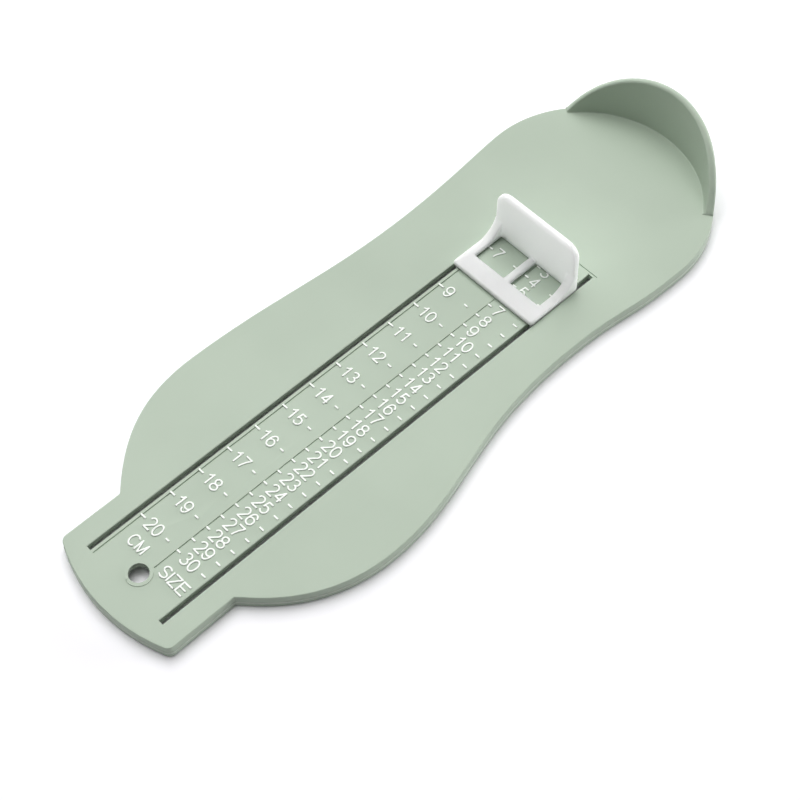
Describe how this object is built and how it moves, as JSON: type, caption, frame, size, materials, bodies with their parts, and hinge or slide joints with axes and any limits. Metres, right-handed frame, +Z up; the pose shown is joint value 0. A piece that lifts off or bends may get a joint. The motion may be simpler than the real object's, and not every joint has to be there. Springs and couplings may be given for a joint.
{
  "type": "foot measuring device",
  "caption": "Foot-shaped plate with a curved heel wall, a raised ruler, a hanging hole, and a slider with windows that is pushed up to the toe to read the length and size.",
  "frame": {"origin": "centre of the footprint on the table that the plate lies on", "axes": "+X from the heel wall to the tab with the hanging hole, +Y towards the shoe size side, +Z up"},
  "size_m": [0.2262, 0.0848, 0.0235],
  "materials": {
    "sage_plastic": "satin",
    "white_plastic": "satin"
  },
  "bodies": {
    "plate": {"foot_plate": "sage_plastic"},
    "slider": {"slider": "white_plastic"}
  },
  "joints": [
    {"name": "slider_slide", "type": "slide", "parent": "plate", "child": "slider", "axis": [1, 0, 0], "range_m": [-0.0071, 0.1346]}
  ]
}
